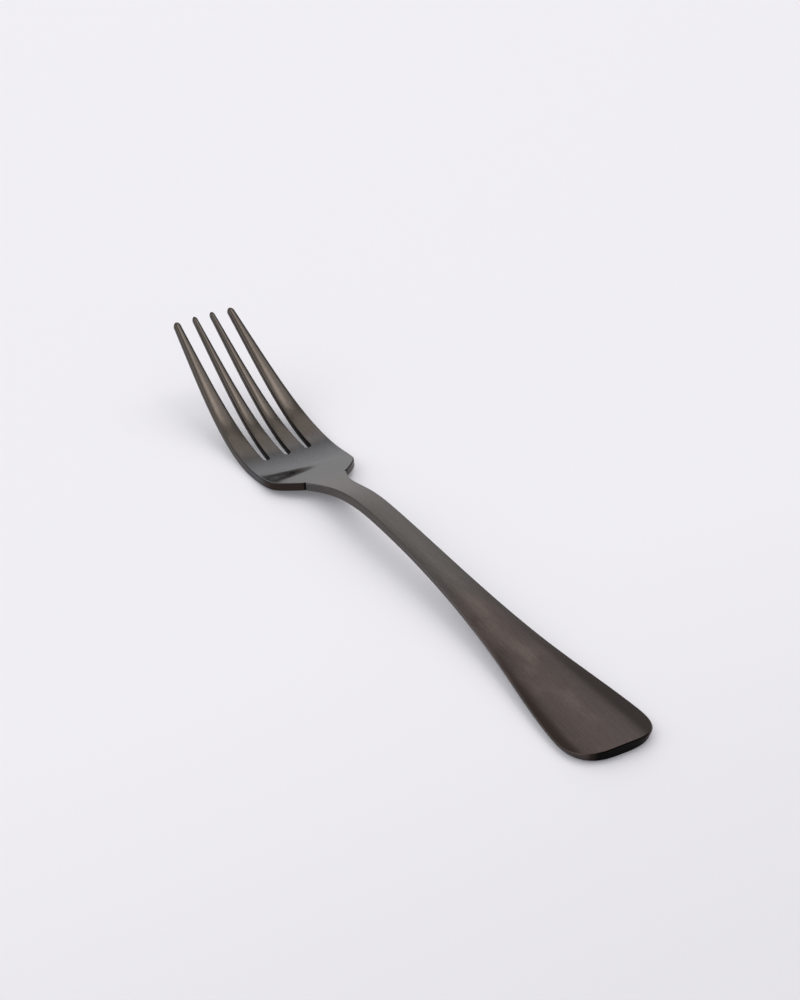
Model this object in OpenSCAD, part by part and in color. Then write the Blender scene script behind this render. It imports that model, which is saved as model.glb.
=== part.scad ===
// Dinner fork pressed from one flat steel blank, lying on a table with its tines curving up.
// The profile runs along +Y from the handle end to the tine tips. X is across and Z is up from the table.

/* [Fork] */
// Overall length, from the handle end to the inner tine tips
length = 200; // [190:1:212]
// Rounding of the long edges
edge_radius = 0.4; // [0.2:0.05:0.45]

/* [Side profile] */
// Height of the arch under the handle
arch_height = 7.4; // [5:0.1:10]
// Distance from the notch under the shoulders back to the top of the arch
arch_setback = 25; // [22:0.5:30]
// Height of the underside at the notch
notch_height = 2.7; // [2:0.1:3.6]
// Distance from the tine tips back to the heel, the low point that rests on the table
heel_setback = 49; // [47:0.5:53]
// Height of the underside of the tine tips
tip_height = 21.4; // [16:0.1:27]

/* [Handle] */
// Width of the handle where its rounded end begins
end_width = 23.4; // [20:0.2:26]
// Length of the rounded end
end_round = 12.6; // [9:0.2:15]
// Thickness along the middle of the handle end
end_thick = 3.5; // [2.6:0.1:4]
// Thickness of the handle's sides at its end
end_side = 0.9; // [0.9:0.1:1.4]
// How far the sides stand above the table at the handle end
end_keel = 0.75; // [0:0.05:1]

/* [Neck] */
// Length of the neck, from the narrowest place to the notch
neck_length = 19; // [16:0.5:24]
// Width at the narrowest place
waist_width = 6.6; // [5:0.2:8]
// Thickness along the middle of the narrowest place
waist_thick = 2.7; // [2.2:0.1:3.2]
// Thickness of the sides at the narrowest place
waist_side = 2.4; // [1.8:0.1:2.6]
// Width of the neck at the notch
notch_width = 12.8; // [11:0.2:15]

/* [Head] */
// Length of the head, from the notch to the inner tine tips
head_length = 66.8; // [65:0.2:69]
// Width across the shoulders
head_width = 26; // [24.5:0.5:29]
// Length of the slanted shoulder, from the notch to its rounded corner
shoulder_depth = 7.3; // [6:0.1:8]
// Thickness of the shoulders
shoulder_thick = 2.2; // [1.9:0.1:2.8]
// Depth of the shallow dish in the top of the head
dish_depth = 0.45; // [0:0.05:0.8]
// Distance from the notch to the rim of the dish
dish_setback = 5.3; // [3:0.1:7]
// Length of the slope from the rim down into the dish
dish_slope_length = 7; // [5:0.5:9]
// Length over which the dish runs out along the tines and their tops turn round
dish_runout = 26; // [18:1:36]

/* [Tines] */
// Length of the inner tines, from the closed ends of the slots
tine_length = 46.9; // [45:0.1:49]
// Width across the outer tines at their tips
tip_span = 18.4; // [17.5:0.1:19.5]
// Thickness of the tines at their tips
tip_thick = 1.7; // [1.3:0.1:2]
// How far the round tops of the tines fall from their middle to their edges
tine_crown = 0.45; // [0:0.05:0.5]
// Length of the rounded tips
tip_round = 1.1; // [1:0.1:2.5]
// How much shorter the outer tines are
tip_stagger = 0.2; // [0:0.1:1.5]
// Width of a slot at its closed end
slot_width = 1.5; // [1.2:0.1:2.2]
// Width of the gap between two tines at their tips
gap_width = 4.3; // [3.8:0.1:4.5]
// Distance between the slots at their closed ends
slot_pitch = 6.35; // [6:0.05:6.8]
// Distance between the gaps at the tips
gap_pitch = 5.3; // [5.2:0.05:5.6]

/* [Hidden] */

// Slopes of the side profile, as rise over run, at the notch and at the tips
notch_slope_share = -0.2;
tip_slope_share = 0.58;

// The handle's taper to the waist: place, share of the flare left, share of the mean taper
taper_shares = [[0, 1, 1.1], [0.32, 0.42, 1.65], [1, 0, 0]];
// Slopes of the outline in plan at the notch, on the neck's side and on the shoulder's side
neck_flare_share = 0.57;
shoulder_flare_share = 1.12;
// The shoulder's corner: share of the head's width reached, and the slope left there
corner_width_share = 0.977;
corner_flare_share = 0.16;
// Slope of the outer tines' outer edge at the tips
tip_taper_share = -0.107;

// Fullness of the rounded handle end and of the slots and tips, where 2 is an ellipse
end_fullness_share = 2.9;
round_fullness_share = 2;
// Share of a tine's thickness that its rounded tip loses on each face
tip_loss_share = 0.3;

handle_steps = 22;
neck_steps = 12;
shoulder_steps = 14;
tine_steps = 16;
round_steps = 6;
end_steps = 10;
corner_steps = 2;
face_steps = 8;

notch_at = length - head_length;
waist_at = notch_at - neck_length;
arch_at = notch_at - arch_setback;
heel_at = length - heel_setback;
slot_at = length - tine_length;
corner_at = notch_at + shoulder_depth;
widest_at = corner_at + shoulder_depth;
rim_at = notch_at + dish_setback;

tip_loss = tip_thick * tip_loss_share;
tip_at = length + tip_loss * sin(atan(tip_slope_share));

// Each knot is a place along the fork, a value there and its slope
profile = [
    [0, 0, 0],
    [arch_at, arch_height, 0],
    [notch_at, notch_height, notch_slope_share],
    [heel_at, 0, 0],
    [length, tip_height, tip_slope_share]
];
middle_thickness = [
    [0, end_thick, 0],
    [waist_at, waist_thick, 0],
    [notch_at, shoulder_thick, 0],
    [slot_at, shoulder_thick, 0],
    [length, tip_thick, 0]
];
side_top = [
    [0, end_keel + end_side, 0],
    [waist_at, waist_side, 0],
    [notch_at, shoulder_thick, 0],
    [slot_at, shoulder_thick, 0],
    [length, tip_thick, 0]
];
keel = [
    [0, end_keel, 0],
    [waist_at, 0, 0]
];
taper_run = waist_at - end_round;
taper_depth = (end_width - waist_width) / 2;
shaft_outline = [
    for (t = taper_shares)
        [
            end_round + t[0] * taper_run,
            waist_width / 2 + t[1] * taper_depth,
            -t[2] * taper_depth / taper_run
        ],
    [notch_at, notch_width / 2, neck_flare_share]
];
head_outline = [
    [notch_at, notch_width / 2, shoulder_flare_share],
    [corner_at, head_width / 2 * corner_width_share, corner_flare_share],
    [widest_at, head_width / 2, 0],
    [length, tip_span / 2, tip_taper_share]
];
slot_middle = [[slot_at, slot_pitch], [length, gap_pitch]];
slot_half = [[slot_at, slot_width / 2], [length, gap_width / 2]];

// Smooth curve through knots
function stretch(knots, y) = max([0, for (i = [1:1:len(knots) - 2]) if (y >= knots[i][0]) i]);
function cubic(a, b, y) =
    let (run = b[0] - a[0], s = (y - a[0]) / run)
    a[1] + (b[1] - a[1]) * s * s * (3 - 2 * s) + run * s * (1 - s) * (a[2] * (1 - s) - b[2] * s);
function cubic_slope(a, b, y) =
    let (run = b[0] - a[0], s = (y - a[0]) / run)
    6 * (b[1] - a[1]) / run * s * (1 - s) + a[2] * (1 - s) * (1 - 3 * s) - b[2] * s * (2 - 3 * s);
function along(knots, y) = let (i = stretch(knots, y)) cubic(knots[i], knots[i + 1], y);
function slope_along(knots, y) = let (i = stretch(knots, y)) cubic_slope(knots[i], knots[i + 1], y);
function line(ends, y) =
    ends[0][1] + (ends[1][1] - ends[0][1]) * (y - ends[0][0]) / (ends[1][0] - ends[0][0]);

// Share of the full width that a rounded end has at a share of its length
function fullness(u, power) = u >= 1 ? 1 : pow(1 - pow(1 - max(u, 0), power), 1 / power);
// Places that crowd together towards the start of a rounded end
function eased(i, count) = 1 - cos(90 * i / count);

// Point of the fork at x across, n above the side profile, at y along it
function point(x, n, y) =
    let (tilt = atan(slope_along(profile, y)))
    [x, y - n * sin(tilt) - length / 2, along(profile, y) + n * cos(tilt)];

// Smooth rise from 0 to 1 over a run that starts at a place
function rise(y, start, run) = let (s = max(0, min(1, (y - start) / run))) s * s * (3 - 2 * s);
// Depth of the dish, deepest along the middle of the head
function dish(x, y) =
    let (share = rise(y, rim_at, dish_slope_length) - rise(y, slot_at, dish_runout))
    dish_depth * share * (1 - pow(2 * x / head_width, 2));

// Share of the way from the middle to the sides of the shaft, squared for a round section
function bow(x, y) = pow(x / along(shaft_outline, min(y, notch_at)), 2);
// Upper face at x across a place y, domed over the handle and the neck, dished on the head
function top_face(x, y) =
    let (middle = along(middle_thickness, y))
    middle - (middle - along(side_top, y)) * bow(x, y) - dish(x, y);
// Lower face, a round keel under the handle that fades out at the waist
function under_face(x, y) = y < waist_at ? along(keel, y) * bow(x, y) : 0;

// Closed ring with rounded corners between two edges at a place along the fork
function ring(left, right, y, loss = 0, crown = 0) =
    let (
        low_left = under_face(left, y) + loss,
        low_right = under_face(right, y) + loss,
        top_left = top_face(left, y) - loss - crown,
        top_right = top_face(right, y) - loss - crown,
        thinnest = min(top_left - low_left, top_right - low_right),
        r = min(edge_radius, (right - left) / 4, thinnest / 3),
        span = right - left - 2 * r,
        turn = 90 / corner_steps
    )
    [
        for (i = [1:face_steps - 1])
            let (x = left + r + span * i / face_steps)
            point(x, under_face(x, y) + loss, y),
        for (i = [0:corner_steps])
            point(right - r + r * sin(i * turn), low_right + r - r * cos(i * turn), y),
        for (i = [0:corner_steps])
            point(right - r + r * cos(i * turn), top_right - r + r * sin(i * turn), y),
        for (i = [1:face_steps - 1])
            let (x = right - r - span * i / face_steps, off = (2 * x - left - right) / (right - left))
            point(x, top_face(x, y) - loss - crown * off * off, y),
        for (i = [0:corner_steps])
            point(left + r - r * sin(i * turn), top_left - r + r * cos(i * turn), y),
        for (i = [0:corner_steps])
            point(left + r - r * cos(i * turn), low_left + r - r * sin(i * turn), y)
    ];

// Solid through a row of rings, closed at both ends
module loft(rings) {
    size = len(rings[0]);
    last = len(rings) - 1;
    hubs = [for (r = [rings[0], rings[last]]) [for (i = [1:size]) 1] * r / size];
    start_hub = (last + 1) * size;
    end_hub = start_hub + 1;
    points = [for (r = rings) each r, each hubs];
    faces = [
        for (i = [0:last - 1], j = [0:size - 1])
            let (a = i * size + j, b = i * size + (j + 1) % size)
            each [[a, a + size, b + size], [a, b + size, b]],
        for (j = [0:size - 1])
            [start_hub, j, (j + 1) % size],
        for (j = [0:size - 1])
            [end_hub, last * size + (j + 1) % size, last * size + j]
    ];
    polyhedron(points, faces);
}

// Thickness that the rounded edge of the handle end takes off each face, y in from the end
function edge_loss(y) = edge_radius * (1 - fullness(y / edge_radius, round_fullness_share));

// Half the width of the handle i steps into its rounded end
function end_half(i) =
    i == 0 ? end_half(1) / 2 :
    let (u = eased(i, end_steps))
    along(shaft_outline, u * end_round) * fullness(u, end_fullness_share);

module handle() {
    color([0.30, 0.27, 0.26])
        loft([
            for (i = [0:end_steps])
                let (y = end_round * eased(i, end_steps), half = end_half(i))
                ring(-half, half, y, edge_loss(y)),
            for (i = [1:handle_steps])
                let (y = end_round + taper_run * i / handle_steps, half = along(shaft_outline, y))
                ring(-half, half, y)
        ]);
}

module neck() {
    color([0.33, 0.31, 0.30])
        loft([
            for (i = [0:neck_steps])
                let (y = waist_at + neck_length * i / neck_steps, half = along(shaft_outline, y))
                ring(-half, half, y)
        ]);
}

module shoulders() {
    color([0.38, 0.38, 0.39])
        loft([
            for (i = [0:shoulder_steps])
                let (y = notch_at + (slot_at - notch_at) * i / shoulder_steps, half = along(head_outline, y))
                ring(-half, half, y)
        ]);
}

// Edges of the two right-hand tines, clear of the slots, whose closed ends are round
function slot_reach(y) =
    line(slot_half, y) * fullness((y - slot_at) / (slot_width / 2), round_fullness_share);
function mid_edges(y) = [slot_reach(y), line(slot_middle, y) - slot_reach(y)];
function far_edges(y) = [line(slot_middle, y) + slot_reach(y), along(head_outline, y)];

// One tine, right or left of the middle, tapering to a rounded tip
module tine(far, hand) {
    end_at = tip_at - (far ? tip_stagger : 0);
    run = end_at - slot_at;
    root_share = slot_width / 2 / run;
    round_share = tip_round / run;
    places = [
        for (i = [0:round_steps]) root_share * eased(i, round_steps),
        for (i = [1:tine_steps]) root_share + (1 - root_share - round_share) * i / tine_steps,
        for (i = [round_steps - 1:-1:0]) 1 - round_share * eased(i, round_steps)
    ];
    color([0.36, 0.33, 0.31])
        loft([
            for (p = places)
                let (
                    y = slot_at + p * run,
                    edges = far ? far_edges(y) : mid_edges(y),
                    ease = fullness((1 - p) / round_share, round_fullness_share),
                    middle = (edges[0] + edges[1]) / 2,
                    half = (edges[1] - edges[0]) / 2 * max(ease, tip_loss_share),
                    crown = tine_crown * ease * rise(y, slot_at, dish_runout)
                )
                ring(hand * middle - half, hand * middle + half, y, tip_loss * (1 - ease), crown)
        ]);
}

module tine_far_left() tine(far = true, hand = -1);
module tine_mid_left() tine(far = false, hand = -1);
module tine_mid_right() tine(far = false, hand = 1);
module tine_far_right() tine(far = true, hand = 1);

handle();
neck();
shoulders();
tine_far_left();
tine_mid_left();
tine_mid_right();
tine_far_right();
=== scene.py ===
import math

import bpy
import numpy as np
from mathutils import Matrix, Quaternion, Vector


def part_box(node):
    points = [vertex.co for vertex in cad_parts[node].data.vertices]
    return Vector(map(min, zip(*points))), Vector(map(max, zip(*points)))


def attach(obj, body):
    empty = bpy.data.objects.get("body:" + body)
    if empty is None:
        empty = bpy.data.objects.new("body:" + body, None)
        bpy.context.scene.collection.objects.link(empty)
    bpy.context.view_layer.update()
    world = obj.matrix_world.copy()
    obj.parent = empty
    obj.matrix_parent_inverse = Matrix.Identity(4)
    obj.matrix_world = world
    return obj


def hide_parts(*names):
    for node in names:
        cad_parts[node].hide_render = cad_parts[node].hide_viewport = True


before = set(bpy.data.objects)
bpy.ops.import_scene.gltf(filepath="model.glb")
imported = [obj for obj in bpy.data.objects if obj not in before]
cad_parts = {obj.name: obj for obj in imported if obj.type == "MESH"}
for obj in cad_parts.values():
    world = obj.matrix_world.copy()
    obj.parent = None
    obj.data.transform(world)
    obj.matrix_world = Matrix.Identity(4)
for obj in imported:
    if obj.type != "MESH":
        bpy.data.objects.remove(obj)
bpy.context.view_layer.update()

# The fork is worked out in millimetres in the frame of the CAD part:
# X across, Y along it and Z up from the table.
MM = 0.001


def corners(node):
    """Lowest and highest corner of a CAD node's box."""
    low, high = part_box(node)
    return np.array(low) / MM, np.array(high) / MM


# Places along the fork
END_AT = corners("handle")[0][1]
WAIST_AT = corners("neck")[0][1]
NOTCH_AT = corners("shoulders")[0][1]
SLOT_AT = corners("shoulders")[1][1]
TIP_AT = corners("tine_mid_right")[1][1]
ARCH_SETBACK, HEEL_SETBACK = 25.0, 49.0
ARCH_AT = NOTCH_AT - ARCH_SETBACK
HEEL_AT = TIP_AT - HEEL_SETBACK
END_ROUND = 12.6
ROUND_AT = END_AT + END_ROUND
SHOULDER_DEPTH = 7.3
CORNER_AT = NOTCH_AT + SHOULDER_DEPTH
WIDEST_AT = CORNER_AT + SHOULDER_DEPTH

# Heights of the underside, widths and thicknesses
ARCH_HEIGHT = 7.4
NOTCH_HEIGHT = 2.7
TIP_HEIGHT = 21.4
END_WIDTH = 23.4
WAIST_WIDTH = 6.6
NOTCH_HALF = corners("neck")[1][0]
HEAD_HALF = corners("shoulders")[1][0]
TIP_SPAN = 18.4
END_THICK, END_SIDE, END_KEEL = 3.5, 0.9, 0.75
WAIST_THICK, WAIST_SIDE = 2.7, 2.4
HEAD_THICK = 2.2
TIP_THICK = 1.7
SLOT_WIDTH, GAP_WIDTH = 1.5, 4.05
SLOT_PITCH, GAP_PITCH = corners("tine_mid_right")[1][0], 5.3

# Tines and the head's dish, with the shares of thickness lost and of width kept at a tip
TIP_ROUND = 1.1
TIP_STAGGER, TIP_OVERRUN = 0.2, 0.25
TIP_LOSS_SHARE, TIP_WIDTH_SHARE = 0.4, 0.15
TINE_CROWN = 0.45
DISH_DEPTH = 0.45
DISH_SETBACK, DISH_SLOPE, DISH_RUNOUT = 5.3, 7.0, 26.0

# Edges, with the largest shares of a thickness or width that a radius takes
EDGE_RADIUS = 0.4
TINE_RADIUS = 0.55
EDGE_SHARE = 0.3
TINE_EDGE_SHARE, TINE_WIDTH_SHARE = 0.42, 0.36
UNDERCUT_SHARE = 0.22
GROOVE_DEPTH, GROOVE_REACH = 0.35, 0.3

# Painted shade on the handle's rims, which darkens its flanks: its strength, its start and full
# strength as values of bow(), and how far before the waist it ends
RIM_SHADE = 0.5
RIGHT_RIM, LEFT_RIM = (0.05, 0.5), (0.4, 0.85)
RIM_SETBACK = 45
# Painted shade on the shoulders' side walls, from the notch to the widest place
SHOULDER_SHADE = 0.45
# Black painted shade: on the handle's end wall, how far that faces the front and how fast it sets
# in, and along the slots, its level at the root and the share of the tine over which it fades
END_SHADE_FROM, END_SHADE_GAIN = 0.75, 5
SLOT_SHADE_LEVEL, SLOT_SHADE_SHARE = 1.2, 0.5

# Curves through knots: a place along the fork, a value there and its slope
PROFILE = [
    (END_AT, 0, 0),
    (ARCH_AT, ARCH_HEIGHT, 0),
    (NOTCH_AT, NOTCH_HEIGHT, -0.2),
    (HEEL_AT, 0, 0),
    (TIP_AT, TIP_HEIGHT, 0.58),
]
MIDDLE_THICKNESS = [
    (END_AT, END_THICK, 0),
    (WAIST_AT, WAIST_THICK, 0),
    (NOTCH_AT, HEAD_THICK, 0),
    (SLOT_AT, HEAD_THICK, 0),
    (TIP_AT, TIP_THICK, 0),
]
SIDE_TOP = [(END_AT, END_KEEL + END_SIDE, 0), (WAIST_AT, WAIST_SIDE, 0)] + MIDDLE_THICKNESS[2:]
KEEL = [(END_AT, END_KEEL, 0), (WAIST_AT, 0, 0)]
TAPER_RUN = WAIST_AT - ROUND_AT
TAPER_DEPTH = (END_WIDTH - WAIST_WIDTH) / 2
TAPER_SHARES = [(0, 1, 1.1), (0.32, 0.42, 1.65), (1, 0, 0)]
SHAFT = [
    (
        ROUND_AT + place * TAPER_RUN,
        WAIST_WIDTH / 2 + flare * TAPER_DEPTH,
        -slope * TAPER_DEPTH / TAPER_RUN,
    )
    for place, flare, slope in TAPER_SHARES
] + [(NOTCH_AT, NOTCH_HALF, 0.57)]
HEAD = [
    (NOTCH_AT, NOTCH_HALF, 1.12),
    (CORNER_AT, HEAD_HALF * 0.977, 0.16),
    (WIDEST_AT, HEAD_HALF, 0),
    (TIP_AT, TIP_SPAN / 2, -0.107),
]
# The handle's end is a superellipse with this power, and rows of points lose its curve over
# this many times its length
END_FULLNESS = 2.9
END_FADE = 1.2


def along(knots, y):
    """Value of a smooth curve through knots."""
    knots = np.array(knots, float)
    y = np.asarray(y, float)
    i = np.clip(np.searchsorted(knots[:, 0], y, side="right") - 1, 0, len(knots) - 2)
    (a, va, sa), (b, vb, sb) = np.moveaxis(knots[i], -1, 0), np.moveaxis(knots[i + 1], -1, 0)
    run = b - a
    s = (y - a) / run
    return va + (vb - va) * s * s * (3 - 2 * s) + run * s * (1 - s) * (sa * (1 - s) - sb * s)


# The underside, averaged over a short reach so that reflections run on without a kink
STEP, REACH = 0.05, 8.0
places = np.arange(END_AT - 2 * REACH, TIP_AT + 2 * REACH, STEP)
inside = np.clip(places, END_AT, TIP_AT)
end_slopes = np.where(places > TIP_AT, PROFILE[-1][2], PROFILE[0][2])
heights = along(PROFILE, inside) + (places - inside) * end_slopes
weights = np.hanning(2 * int(REACH / STEP) + 1)
heights = np.convolve(heights, weights / weights.sum(), "same")
lift_at = [np.interp(y, places, heights) for y in (END_AT, HEEL_AT)]
heights -= np.interp(places, (END_AT, HEEL_AT), lift_at)
slopes = np.gradient(heights, STEP)


def lift(x, n, y):
    """Point at x across and n above the underside, at the place y along the fork."""
    tilt = np.arctan(np.interp(y, places, slopes))
    z = np.interp(y, places, heights)
    return np.stack(np.broadcast_arrays(x, y - n * np.sin(tilt), z + n * np.cos(tilt)), -1)


def smooth(value, start, end):
    """Smooth share, from 0 to 1, of the way from start to end."""
    share = np.clip((value - start) / (end - start), 0, 1)
    return share * share * (3 - 2 * share)


def dish(x, y):
    """Depth of the shallow dish in the head, which runs out along the tines."""
    rim_at = NOTCH_AT + DISH_SETBACK
    share = smooth(y, rim_at, rim_at + DISH_SLOPE) - smooth(y, SLOT_AT, SLOT_AT + DISH_RUNOUT)
    return DISH_DEPTH * share * (1 - (x / HEAD_HALF) ** 2)


def bow(x, y):
    """Share of the way from the middle to the sides of the shaft, squared for a round section."""
    return (x / along(SHAFT, np.minimum(y, NOTCH_AT))) ** 2


def top_face(x, y):
    """Height of the upper face over the underside."""
    middle = along(MIDDLE_THICKNESS, y)
    return middle - (middle - along(SIDE_TOP, y)) * bow(x, y) - dish(x, y)


def under_face(x, y):
    """Height of the lower face, which only the handle's keel lifts at the sides."""
    return along(KEEL, np.minimum(y, WAIST_AT)) * bow(x, y)


def thickness(x, y):
    return top_face(x, y) - under_face(x, y)


def shaft_half(y):
    """Half the width of the handle and neck."""
    return along(SHAFT, y) - groove(y)


def head_half(y):
    """Half the width of the shoulders and the outer tines."""
    return along(HEAD, y) - groove(y)


def near_notch(y):
    """Share that is 1 at the notch and falls off within a short reach."""
    return np.exp(-(((y - NOTCH_AT) / GROOVE_REACH) ** 2))


def groove(y):
    """Depth of the fine groove in the inner corner of the notch."""
    return GROOVE_DEPTH * near_notch(y)


def unit(v):
    return v / np.linalg.norm(v, axis=-1, keepdims=True)


# Short steps for slopes, along the fork and along a tine
NUDGE, TINE_NUDGE = 0.01, 0.005


def face_normal(face, x, y):
    """Upward normal of a face that is given as its height over the underside."""
    d = NUDGE
    across = lift(x + d, face(x + d, y), y) - lift(x - d, face(x - d, y), y)
    onward = lift(x, face(x, y + d), y + d) - lift(x, face(x, y - d), y - d)
    return unit(np.cross(across, onward))


class Skin:
    """Grids and faces with their own normals, welded into one closed mesh.

    Each point has a value of painted shade: 0 is none, 0.5 is dim and 1 is black.
    """

    def __init__(self):
        self.points, self.faces, self.normals, self.painted_shade = [], [], [], []

    def add_grid(self, points, normals, painted_shade=None, flip=False):
        first = len(self.points)
        rows, columns = points.shape[:2]
        flat = np.asarray(normals).reshape(-1, 3)
        self.points.extend(points.reshape(-1, 3))
        self.painted_shade.extend(np.zeros(rows * columns) if painted_shade is None else painted_shade.reshape(-1))
        for i in range(rows - 1):
            for k in range(columns - 1):
                a = i * columns + k
                quad = [a, a + 1, a + columns + 1, a + columns]
                quad = quad[::-1] if flip else quad
                self.faces.append([first + v for v in quad])
                self.normals.append([flat[v] for v in quad])

    def add_face(self, points):
        first = len(self.points)
        self.points.extend(points)
        self.painted_shade.extend(np.zeros(len(points)))
        self.faces.append(list(range(first, first + len(points))))
        self.normals.append(None)

    def build(self, name):
        spots, index = np.unique(np.round(np.array(self.points), 4), axis=0, return_inverse=True)
        index = index.reshape(-1)
        faces = [[int(index[v]) for v in face] for face in self.faces]
        mesh = bpy.data.meshes.new(name)
        mesh.from_pydata(spots * MM, [], faces)
        mesh.polygons.foreach_set("use_smooth", [n is not None for n in self.normals])
        loops = []
        for face, normals in zip(mesh.polygons, self.normals):
            loops.extend(normals if normals is not None else [face.normal] * face.loop_total)
        mesh.normals_split_custom_set([tuple(n) for n in loops])
        painted_shade = np.zeros(len(spots))
        np.maximum.at(painted_shade, index, np.array(self.painted_shade))
        mesh.attributes.new("painted_shade_values", "FLOAT", "POINT").data.foreach_set("value", painted_shade)
        mesh.update()
        piece = bpy.data.objects.new(name, mesh)
        bpy.context.scene.collection.objects.link(piece)
        return piece


FILLET = np.radians([90, 67.5, 45, 22.5, 0])


def edge_band(outline, inset, outward, radius, undercut=0, top=top_face, under=under_face):
    """Points and normals of a rounded edge along an outline with the steel on its left."""
    undercut = np.broadcast_to(undercut, radius.shape)
    tilt = np.arctan(np.interp(outline[:, 1], places, slopes))
    wall = np.stack([outward[:, 0], outward[:, 1] * np.cos(tilt), outward[:, 1] * np.sin(tilt)], -1)
    tall = np.maximum(top(*outline.T) - under(*outline.T) - 2 * radius, radius)
    wall = unit(wall * tall[:, None] - (0, 0, 1) * undercut[:, None])
    points, normals = [], []
    forms = ((under, 1, undercut, FILLET), (top, -1, 0 * undercut, FILLET[::-1]))
    for face, side, start, turns in forms:
        x, y = (outline - inset * (start + radius)[:, None]).T
        height, normal = face(x, y), -side * face_normal(face, x, y)
        for turn in turns:
            plan = outline - inset * (start + radius * (1 - math.cos(turn)))[:, None]
            n = height + side * radius * (1 - math.sin(turn))
            points.append(lift(plan[:, 0], n, plan[:, 1]))
            normals.append(unit(math.cos(turn) * wall + math.sin(turn) * normal))
    return np.stack(points, 1), np.stack(normals, 1)


def add_faces(skin, plan, under_plan=None, painted_dimming=None, top=top_face, under=under_face):
    """Upper and lower face over grids of plan points, with a share of painted shade on the upper
    one.
    """
    x, y = np.moveaxis(plan, -1, 0)
    skin.add_grid(lift(x, top(x, y), y), face_normal(top, x, y), painted_dimming)
    x, y = np.moveaxis(plan if under_plan is None else under_plan, -1, 0)
    skin.add_grid(lift(x, under(x, y), y), -face_normal(under, x, y), flip=True)


def add_band(skin, outline, inset, outward, radius, painted_shade=0, **forms):
    """Rounded edge, with a share of painted shade on its wall."""
    points, normals = edge_band(outline, inset, outward, radius, **forms)
    on_wall = np.full(points.shape[1], 1.0)
    on_wall[[-2, -1]] = 0
    painted_shade = np.broadcast_to(painted_shade, radius.shape)[:, None] * on_wall
    skin.add_grid(points, normals, painted_shade, flip=True)


def add_cut(skin, x, y, radius, way, top=top_face, under=under_face):
    """Flat cut across the fork, over plan places x, that faces along Y (1) or against it (-1)."""
    ends = np.array([[x[-1] + radius, y], [x[0] - radius, y]])
    sides = np.array([[1.0, 0.0], [-1.0, 0.0]])
    band, _ = edge_band(ends, sides, sides, np.full(2, radius), top=top, under=under)
    level = np.full(len(x), y)
    low, high = lift(x, under(x, level), y), lift(x, top(x, level), y)
    ring = [*low, *band[0][1:-1], *high[::-1], *band[1][1:-1][::-1]]
    skin.add_face(ring if way < 0 else ring[::-1])


def edge_normals(half, y):
    """Outward normals, in plan, of the right-hand edge at half a width."""
    d = NUDGE
    slope = (half(y + d) - half(y - d)) / (2 * d)
    return unit(np.stack([np.ones(len(y)), -slope], -1))


def mirrored(plan):
    return plan * (-1, 1)


def add_sides(skin, outline, inset, outward, radius, painted_shade):
    """The right-hand edge going up the fork, and the left-hand edge coming back."""
    add_band(skin, outline, inset, outward, radius, painted_shade)
    left = [mirrored(line)[::-1] for line in (outline, inset, outward)]
    add_band(skin, *left, radius[::-1], painted_shade[::-1])


# Handle: its rounded end is a full curve, so its first row of points follows that curve
def handle_outline(samples=4000):
    """Right half of the handle's outline, from the middle of its end to the waist."""
    turn = np.linspace(0, 1, samples) ** 2 * math.pi / 2
    power = 2 / END_FULLNESS
    y = ROUND_AT - END_ROUND * np.cos(turn) ** power
    end = np.stack([along(SHAFT, y) * np.sin(turn) ** power, y], -1)
    y = np.linspace(ROUND_AT, WAIST_AT, samples)[1:]
    return np.concatenate([end, np.stack([along(SHAFT, y), y], -1)])


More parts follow.
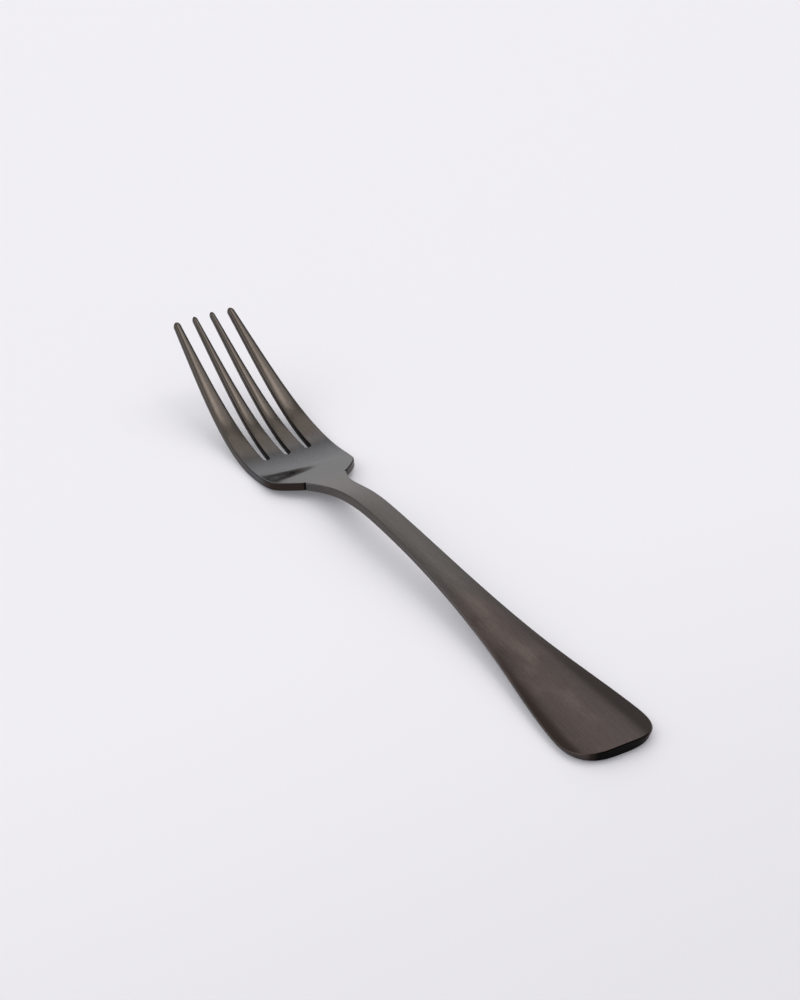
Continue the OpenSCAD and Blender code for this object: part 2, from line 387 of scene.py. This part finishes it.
def make_handle(rows=90, columns=28):
    curve = handle_outline()
    travel = np.concatenate([[0], np.cumsum(np.linalg.norm(np.diff(curve, axis=0), axis=1))])
    onward = unit(np.gradient(curve, travel, axis=0))
    normal = np.stack([onward[:, 1], -onward[:, 0]], -1)

    def at(values, s):
        return np.stack([np.interp(s, travel, column) for column in values.T], -1)

    corner = travel[np.argmax(onward[:, 1] > onward[:, 0])]
    share = np.linspace(0, 1, rows + 1)
    side = corner + (travel[-1] - corner) * share * (1 + share) / 2
    outline, outward = at(curve, side), unit(at(normal, side))
    front = np.linspace(-corner, corner, columns + 1)
    flip = np.stack([np.where(front < 0, -1, 1), np.ones(len(front))], -1)
    front_line, front_normal = at(curve, abs(front)) * flip, unit(at(normal, abs(front))) * flip

    def edge_radius(line):
        return np.minimum(EDGE_RADIUS, EDGE_SHARE * thickness(*line.T))

    def undercut(line):
        return UNDERCUT_SHARE * thickness(*line.T) * (1 - smooth(line[:, 1], END_AT, WAIST_AT))

    def plan(reach):
        inner = outline - outward * reach(outline)[:, None]
        front_inner = front_line - front_normal * reach(front_line)[:, None]
        left = np.clip(1 - (inner[:, 1] - inner[0, 1]) / (END_FADE * END_ROUND), 0, 1) ** 2
        across = front_inner[:, 0] / front_inner[-1, 0]
        bulge = front_inner[:, 1] - front_inner[-1, 1]
        return np.stack([inner[:, 0, None] * across, inner[:, 1, None] + left[:, None] * bulge], -1)

    top_plan = plan(edge_radius)
    under_plan = plan(lambda line: edge_radius(line) + undercut(line))
    under_plan[-1] = top_plan[-1]
    loop = np.concatenate([mirrored(outline)[:0:-1], front_line, outline[1:]])
    loop_normal = np.concatenate([mirrored(outward)[:0:-1], front_normal, outward[1:]])
    # Black painted shade on the part of the end wall that faces the front
    painted_shade = np.clip(END_SHADE_GAIN * (-loop_normal[:, 1] - END_SHADE_FROM), 0, 1)
    x, y = np.moveaxis(top_plan, -1, 0)
    # Painted shade on the handle's rims, fading out before the waist
    start, full = (np.where(x > 0, right, left) for right, left in zip(RIGHT_RIM, LEFT_RIM))
    rim = smooth(bow(x, y), start, full)
    painted_dimming = RIM_SHADE * rim * (1 - smooth(y, ROUND_AT, WAIST_AT - RIM_SETBACK))
    skin = Skin()
    add_faces(skin, top_plan, under_plan, painted_dimming)
    add_band(skin, loop, loop_normal, loop_normal, edge_radius(loop), painted_shade, undercut=undercut(loop))
    add_cut(skin, top_plan[-1, :, 0], WAIST_AT, EDGE_RADIUS, 1)
    return skin.build("handle_steel")


# Rows of points close to the notch, as distances from it
NEAR_GROOVE = np.array([0, 0.1, 0.2, 0.3, 0.4, 0.55, 0.75])


def make_neck(rows=30, columns=28):
    near = NOTCH_AT - NEAR_GROOVE[::-1]
    y = np.concatenate([np.linspace(WAIST_AT, near[0], rows + 1)[:-1], near])
    outline = np.stack([shaft_half(y), y], -1)
    outward = edge_normals(shaft_half, y)
    inset = np.tile((1.0, 0.0), (len(y), 1))
    inner = outline - inset * EDGE_RADIUS
    across = np.linspace(-1, 1, columns + 1)
    plan = np.stack(np.broadcast_arrays(inner[:, 0, None] * across, inner[:, 1, None]), -1)
    skin = Skin()
    add_faces(skin, plan)
    # Black painted shade in the crease of the notch
    add_sides(skin, outline, inset, outward, np.full(len(y), EDGE_RADIUS), near_notch(y))
    add_cut(skin, plan[0, :, 0], WAIST_AT, EDGE_RADIUS, -1)
    add_cut(skin, plan[-1, :, 0], NOTCH_AT, EDGE_RADIUS, 1)
    return skin.build("neck_steel")


# The slots, whose closed ends are half round
ROOT_AT = SLOT_AT + SLOT_WIDTH / 2
BEND_RADII = 4


def slot_half(y):
    return np.interp(y, (SLOT_AT, TIP_AT + TIP_ROUND), (SLOT_WIDTH / 2, GAP_WIDTH / 2))


def slot_middle(y):
    return np.interp(y, (SLOT_AT, TIP_AT + TIP_ROUND), (SLOT_PITCH, GAP_PITCH))


def make_shoulders(rows=34, root_rows=8, tine_columns=8, slot_columns=10):
    # Rows run straight across up to bend_at, and from there bend around the ends of the slots
    bend_at = SLOT_AT - BEND_RADII * EDGE_RADIUS
    near = NOTCH_AT + NEAR_GROOVE
    bend_row = len(near) - 1 + rows
    to_bend = np.linspace(near[-1], bend_at, rows + 1)
    to_root = np.linspace(bend_at, ROOT_AT, root_rows + 1)
    y = np.concatenate([near[:-1], to_bend, to_root[1:]])
    outline = np.stack([head_half(y), y], -1)
    outward = edge_normals(head_half, y)
    square = np.clip((y - near[-1]) / SHOULDER_DEPTH, 0, 1)[:, None]
    inset = unit(outward * square + np.array([1.0, 0.0]) * (1 - square))
    inset[-1] = (1, 0)
    inner = outline - inset * EDGE_RADIUS
    half = float(slot_half(ROOT_AT))
    turn = np.linspace(math.pi, 0, slot_columns + 1)
    arc = np.stack([np.cos(turn), -np.sin(turn)], -1)
    middles = [np.array([side * float(slot_middle(ROOT_AT)), ROOT_AT]) for side in (-1, 0, 1)]
    edges = [-inner[-1, 0]]
    for middle in middles:
        edges += [middle[0] - half - EDGE_RADIUS, middle[0] + half + EDGE_RADIUS]
    edges.append(inner[-1, 0])
    last, groups = [], []
    for k in range(4):
        x = np.linspace(edges[2 * k], edges[2 * k + 1], tine_columns + 1)
        groups.append(x)
        last.append(np.stack([x, np.full(len(x), ROOT_AT)], -1))
        if k < 3:
            last.append((middles[k] + arc * (half + EDGE_RADIUS))[1:-1])
    last = np.concatenate(last)
    across = last[:, 0] / inner[-1, 0]
    x = inner[:, 0, None] * across
    onward = np.clip((y - bend_at) / (ROOT_AT - bend_at), 0, 1)[:, None]
    start = np.minimum(inner[:, 1], inner[bend_row, 1])[:, None]
    plan = np.stack([x, start + (last[:, 1] - start) * onward], -1)
    plan[:, 0], plan[:, -1] = mirrored(inner), inner
    skin = Skin()
    add_faces(skin, plan)
    # Painted shade: black in the notch's crease, dim on the shoulders' side walls
    painted_dimming = np.maximum(near_notch(y), SHOULDER_SHADE * (1 - smooth(y, CORNER_AT, WIDEST_AT)))
    add_sides(skin, outline, inset, outward, np.full(len(y), EDGE_RADIUS), painted_dimming)
    # Black painted shade around the closed ends of the slots
    for middle in middles:
        ring = (middle + arc * half)[::-1]
        add_band(skin, ring, -arc[::-1], -arc[::-1], np.full(len(ring), EDGE_RADIUS), painted_shade=1)
    add_cut(skin, plan[0, :, 0], NOTCH_AT, EDGE_RADIUS, -1)
    for x in groups:
        add_cut(skin, x, ROOT_AT, EDGE_RADIUS, 1)
    return skin.build("shoulders_steel")


def make_tine(name, far, hand, rows=56, tip_rows=14, columns=8):
    """One tine: far ones are the outer two, and hand is 1 on the right and -1 on the left."""
    end_at = TIP_AT + TIP_OVERRUN - (TIP_STAGGER if far else 0)
    turn = np.linspace(0, math.pi / 2, tip_rows + 1)[1:]
    straight = np.linspace(ROOT_AT, end_at - TIP_ROUND, rows + 1)
    y = np.concatenate([straight, end_at - TIP_ROUND * (1 - np.sin(turn))])

    def ease(y):
        u = np.clip((end_at - y) / TIP_ROUND, 0, 1)
        return np.sqrt(1 - (1 - u) ** 2)

    def loss(y):
        return TIP_THICK * TIP_LOSS_SHARE * (1 - ease(y))

    def edges(y):
        middle, half = slot_middle(y), slot_half(y)
        low, high = (middle + half, head_half(y)) if far else (half, middle - half)
        centre, reach = (low + high) / 2, (high - low) / 2 * np.maximum(ease(y), TIP_WIDTH_SHARE)
        return hand * centre - reach, hand * centre + reach

    def top(x, y):
        low, high = edges(y)
        across = (2 * x - low - high) / (high - low)
        crown = TINE_CROWN * ease(y) * smooth(y, SLOT_AT, SLOT_AT + DISH_RUNOUT)
        return top_face(x, y) - loss(y) - crown * across**2

    def under(x, y):
        return under_face(x, y) + loss(y)

    d = TINE_NUDGE
    skin = Skin()
    left, right = edges(y)
    grown = EDGE_RADIUS + (TINE_RADIUS - EDGE_RADIUS) * smooth(y, ROOT_AT, ROOT_AT + DISH_RUNOUT)
    radius = np.minimum(grown, TINE_WIDTH_SHARE * (right - left))
    for edge in (left, right):
        radius = np.minimum(radius, TINE_EDGE_SHARE * (top(edge, y) - under(edge, y)))
    for side, edge in ((1, right), (-1, left)):
        slope = (edges(y + d)[side > 0] - edges(y - d)[side > 0]) / (2 * d)
        outward = unit(np.stack([np.full(len(y), float(side)), -side * slope], -1))
        inset = np.stack([np.full(len(y), float(side)), np.zeros(len(y))], -1)
        outline = np.stack([edge, y], -1)
        order = slice(None, None, side)
        in_slot = not far or side != hand
        # Black painted shade on the slot walls, fading from the root along the tine
        fading = (y - ROOT_AT) / (SLOT_SHADE_SHARE * (TIP_AT - ROOT_AT))
        painted_shade = in_slot * np.clip(SLOT_SHADE_LEVEL - fading, 0, 1)
        band = [values[order] for values in (outline, inset, outward, radius, painted_shade)]
        add_band(skin, *band, top=top, under=under)
    share = np.linspace(0, 1, columns + 1)
    x = (left + radius)[:, None] + (right - left - 2 * radius)[:, None] * share
    plan = np.stack(np.broadcast_arrays(x, y[:, None]), -1)
    add_faces(skin, plan, top=top, under=under)
    add_cut(skin, plan[0, :, 0], y[0], radius[0], -1, top=top, under=under)
    add_cut(skin, plan[-1, :, 0], y[-1], radius[-1], 1, top=top, under=under)
    return skin.build(name)


# Materials
def put(tree, value, socket):
    """Link or plain value on a socket."""
    if isinstance(value, bpy.types.NodeSocket):
        tree.links.new(value, socket)
    else:
        socket.default_value = value


def add(tree, kind, settings=None, **inputs):
    """New shader node with its settings, and with values or links on its inputs."""
    node = tree.nodes.new("ShaderNode" + kind)
    for key, value in (settings or {}).items():
        setattr(node, key, value)
    for key, value in inputs.items():
        put(tree, value, node.inputs[key.replace("_", " ")])
    return node


def noise(tree, coords, scale, detail):
    """Noise between 0 and 1 with its own scale, per metre, along each axis."""
    place = add(tree, "Mapping", Vector=coords, Scale=scale)
    return add(tree, "TexNoise", Vector=place.outputs[0], Scale=1.0, Detail=detail).outputs["Fac"]


def blend(tree, share, low, high, kind="MIX"):
    """Colour between two, or their sum or product, at a share."""
    return add(tree, "MixRGB", {"blend_type": kind}, Fac=share, Color1=low, Color2=high).outputs[0]


def fade(tree, value, start, end, low=0.0, high=1.0):
    """Smooth change from low to high as a value goes from start to end."""
    inputs = {"Value": value, "From Min": start, "From Max": end, "To Min": low, "To Max": high}
    return add(tree, "MapRange", {"interpolation_type": "SMOOTHSTEP"}, **inputs).outputs[0]


def total(tree, a, b, operation="ADD"):
    """Sum of two numbers, or the result of another operation on them."""
    node = add(tree, "Math", {"operation": operation})
    for socket, value in zip(node.inputs, (a, b)):
        put(tree, value, socket)
    return node.outputs[0]


# Colours of the steel: two on the handle, then the neck, the tines and the head,
# and then dim and black painted shade and the tint of glancing light
BROWN = (0.09, 0.071, 0.065, 1)
DUSK = (0.066, 0.053, 0.049, 1)
OLIVE = (0.084, 0.077, 0.072, 1)
TINE = (0.069, 0.06, 0.054, 1)
COOL = (0.07, 0.07, 0.073, 1)
PAINTED_DIM = (0.03, 0.022, 0.019, 1)
PAINTED_BLACK = (0.004, 0.004, 0.004, 1)
EDGE_TINT = (0.85, 0.84, 0.83, 1)
# Where one colour gives way to the next, along the fork
TO_NECK = WAIST_AT - 65, WAIST_AT - 30
TO_HEAD = NOTCH_AT - 8, NOTCH_AT + 4
TO_TINES = SLOT_AT - 4, SLOT_AT + 8
TO_END = WAIST_AT - 60, ROUND_AT
# Noise, by its scale per metre and its detail, and what it does
PATCHES = (150, 70, 150), 4.0
STREAKS = (2600, 60, 2600), 3.0
GRAIN = (2400, 1500, 2400), 2.0
PATCH_RANGE, END_DUSK = (0.38, 0.66), 0.12
TONE_IN, TONE_OUT = (0.7, 1.3), (0.9, 1.1)
STREAK_RANGE, STREAK_ROUGH = (0.3, 0.7), 0.02
HANDLE_ROUGH, HEAD_ROUGH, PAINTED_SHADE_ROUGH = 0.33, 0.12, 0.3
BUMP_STRENGTH, BUMP_HEIGHT = 0.04, 0.02


def black_steel():
    """Black coated steel: satin brown on the handle, cooler and brighter on the head."""
    material = bpy.data.materials.new("black_steel")
    material.use_nodes = True
    tree = material.node_tree
    shader = tree.nodes["Principled BSDF"]
    shader.inputs["Metallic"].default_value = 1.0
    shader.inputs["Specular Tint"].default_value = EDGE_TINT
    coords = add(tree, "TexCoord").outputs["Object"]
    along_fork = add(tree, "SeparateXYZ", Vector=coords).outputs["Y"]
    painted_shade = add(tree, "Attribute", {"attribute_name": "painted_shade_values"}).outputs["Fac"]

    def over(stretch, low=0.0, high=1.0):
        start, end = stretch
        return fade(tree, along_fork, start * MM, end * MM, low, high)

    patches, streaks, grain = (noise(tree, coords, *kind) for kind in (PATCHES, STREAKS, GRAIN))
    dusky = total(tree, patches, over(TO_END, 0.0, END_DUSK))
    colour = blend(tree, fade(tree, dusky, *PATCH_RANGE), BROWN, DUSK)
    for stretch, following in ((TO_NECK, OLIVE), (TO_HEAD, COOL), (TO_TINES, TINE)):
        colour = blend(tree, over(stretch), colour, following)
    texture = total(tree, streaks, grain)
    tone = fade(tree, texture, *TONE_IN, *TONE_OUT)
    colour = blend(tree, 1.0, colour, tone, "MULTIPLY")
    # Painted shade: dim for point values up to 0.5, black up to 1
    colour = blend(tree, fade(tree, painted_shade, 0.0, 0.5), colour, PAINTED_DIM)
    colour = blend(tree, fade(tree, painted_shade, 0.5, 1.0), colour, PAINTED_BLACK)
    rough = over((WAIST_AT, NOTCH_AT), HANDLE_ROUGH, HEAD_ROUGH)
    rough = total(tree, rough, fade(tree, streaks, *STREAK_RANGE, -STREAK_ROUGH, STREAK_ROUGH))
    # Rougher where shade is painted
    rough = total(tree, rough, total(tree, painted_shade, PAINTED_SHADE_ROUGH, "MULTIPLY"))
    bump = add(tree, "Bump", Strength=BUMP_STRENGTH, Distance=BUMP_HEIGHT * MM, Height=texture)
    tree.links.new(colour, shader.inputs["Base Color"])
    tree.links.new(rough, shader.inputs["Roughness"])
    tree.links.new(bump.outputs[0], shader.inputs["Normal"])
    return material


FLOOR = (0.84, 0.835, 0.885, 1)
FLOOR_SIZE = 6
FLOOR_ROUGH, FLOOR_SPECULAR = 0.6, 0.2
# Share of the floor's brightness that is its own, and the tone its painted shade darkens it to at a
# place, in metres, in front
FLOOR_GLOW = 0.15
FRONT_AT, FRONT_SHADE = -0.22, 0.89


def pale_floor():
    """Pale floor, darkened a little towards the front by painted shade, that keeps some brightness
    in shadow.
    """
    material = bpy.data.materials.new("pale_floor")
    material.use_nodes = True
    tree = material.node_tree
    shader = tree.nodes["Principled BSDF"]
    towards = add(tree, "SeparateXYZ", Vector=add(tree, "TexCoord").outputs["Object"]).outputs["Y"]
    shade = fade(tree, towards, FRONT_AT, 0.0, FRONT_SHADE, 1.0)
    colour = blend(tree, 1.0, FLOOR, shade, "MULTIPLY")
    tree.links.new(colour, shader.inputs["Base Color"])
    shader.inputs["Roughness"].default_value = FLOOR_ROUGH
    shader.inputs["Specular IOR Level"].default_value = FLOOR_SPECULAR
    glow = add(tree, "Emission", Color=colour, Strength=1.0)
    path = add(tree, "LightPath").outputs
    seen = total(tree, path["Is Camera Ray"], path["Is Glossy Ray"])
    seen = total(tree, seen, path["Is Transmission Ray"])
    mixed = add(tree, "MixShader", Fac=total(tree, seen, FLOOR_GLOW, "MULTIPLY"))
    tree.links.new(shader.outputs[0], mixed.inputs[1])
    tree.links.new(glow.outputs[0], mixed.inputs[2])
    tree.links.new(mixed.outputs[0], tree.nodes["Material Output"].inputs["Surface"])
    return material


steel = black_steel()
pieces = {
    "handle": make_handle(),
    "neck": make_neck(),
    "shoulders": make_shoulders(),
    "tine_far_left": make_tine("tine_far_left_steel", True, -1),
    "tine_mid_left": make_tine("tine_mid_left_steel", False, -1),
    "tine_mid_right": make_tine("tine_mid_right_steel", False, 1),
    "tine_far_right": make_tine("tine_far_right_steel", True, 1),
}
for node, piece in pieces.items():
    piece.data.materials.append(steel)
    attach(piece, "root")
    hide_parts(node)

# Stage
bpy.ops.mesh.primitive_plane_add(size=FLOOR_SIZE)
floor = bpy.context.object
floor.name = "floor"
floor.data.materials.append(pale_floor())

# Light: a dark dome with soft lights in it
DOME = (0.05, 0.05, 0.05, 1)
# Azimuth from X towards Y, elevation and width in degrees, sharpness, level and tint
SOFT_LIGHTS = {
    "overhead": (4, 79, 12.5, 1, 3.6, (1, 0.95, 0.9)),
    "right": (2, 53, 21, 1, 2.0, (1, 0.98, 0.96)),
    "low right": (36, 28, 15, 1, 0.3, (1, 1, 1)),
    "window": (53, 55, 13, 3, 0.95, (1, 0.98, 0.95)),
    "behind": (69, 22, 27, 1, 1.7, (1, 1, 1.02)),
    "left": (170, 45, 38, 1, 1.6, (1, 1, 1)),
    "low left": (150, 0, 38, 1, 0.5, (1, 1, 1)),
    "front": (-95, 28, 26, 1, 0.7, (1, 1, 1)),
}
# These are one large light with a straight edge: the way into it, where along that way it starts
# and is full, and the share of it that is left outside the edge
CUT_LIGHTS = ("overhead", "right")
CUT_WAY, CUT_START, CUT_FULL, CUT_SHARE = (0.44, -0.9, 0.53), 0.45, 0.48, 0.5


def heading(azimuth, elevation):
    """Direction towards a place in the dome."""
    a, e = math.radians(azimuth), math.radians(elevation)
    return (math.cos(e) * math.cos(a), math.cos(e) * math.sin(a), math.sin(e))


def facing(tree, coords, direction):
    """How far a direction in the dome points along a given one."""
    node = add(tree, "VectorMath", {"operation": "DOT_PRODUCT"})
    put(tree, coords, node.inputs[0])
    put(tree, direction, node.inputs[1])
    return node.outputs["Value"]


def studio_light():
    """World of soft lights, each of which falls off smoothly from its middle."""
    world = bpy.data.worlds.new("studio")
    world.use_nodes = True
    tree = world.node_tree
    coords = add(tree, "TexCoord").outputs["Generated"]
    cut = fade(tree, facing(tree, coords, CUT_WAY), CUT_START, CUT_FULL, CUT_SHARE, 1.0)
    light = DOME
    for name, (azimuth, elevation, width, sharpness, level, tint) in SOFT_LIGHTS.items():
        off = total(tree, 1.0, facing(tree, coords, heading(azimuth, elevation)), "SUBTRACT")
        off = total(tree, off, 1 - math.cos(math.radians(width)), "DIVIDE")
        off = total(tree, off, sharpness, "POWER")
        lobe = total(tree, 1 / math.e, off, "POWER")
        if name in CUT_LIGHTS:
            lobe = total(tree, lobe, cut, "MULTIPLY")
        light = blend(tree, lobe, light, (*(level * c for c in tint), 1), "ADD")
    tree.links.new(light, tree.nodes["Background"].inputs["Color"])
    bpy.context.scene.world = world


studio_light()

# Camera: angles written in degrees, lens and sensor in millimetres, the rest in metres
AZIMUTH, ELEVATION, ROLL = (math.radians(angle) for angle in (-31.795, 31.739, 0.1875))
LENS, SENSOR_HEIGHT, CLIP_START = 100, 36, 0.01
DISTANCE = 0.70557
TARGET = Vector((0.007666, 0.00906, 0.008022))
back = Vector(
    (
        math.sin(AZIMUTH) * math.cos(ELEVATION),
        -math.cos(AZIMUTH) * math.cos(ELEVATION),
        math.sin(ELEVATION),
    )
)
camera = bpy.data.objects.new("camera", bpy.data.cameras.new("camera"))
camera.data.sensor_fit = "VERTICAL"
camera.data.sensor_height = SENSOR_HEIGHT
camera.data.lens = LENS
camera.data.clip_start = CLIP_START
camera.location = TARGET + back * DISTANCE
look = (-back).to_track_quat("-Z", "Y") @ Quaternion((0, 0, 1), ROLL)
camera.rotation_euler = look.to_euler()
bpy.context.scene.collection.objects.link(camera)
bpy.context.scene.camera = camera

bpy.context.scene.view_settings.view_transform = "Standard"
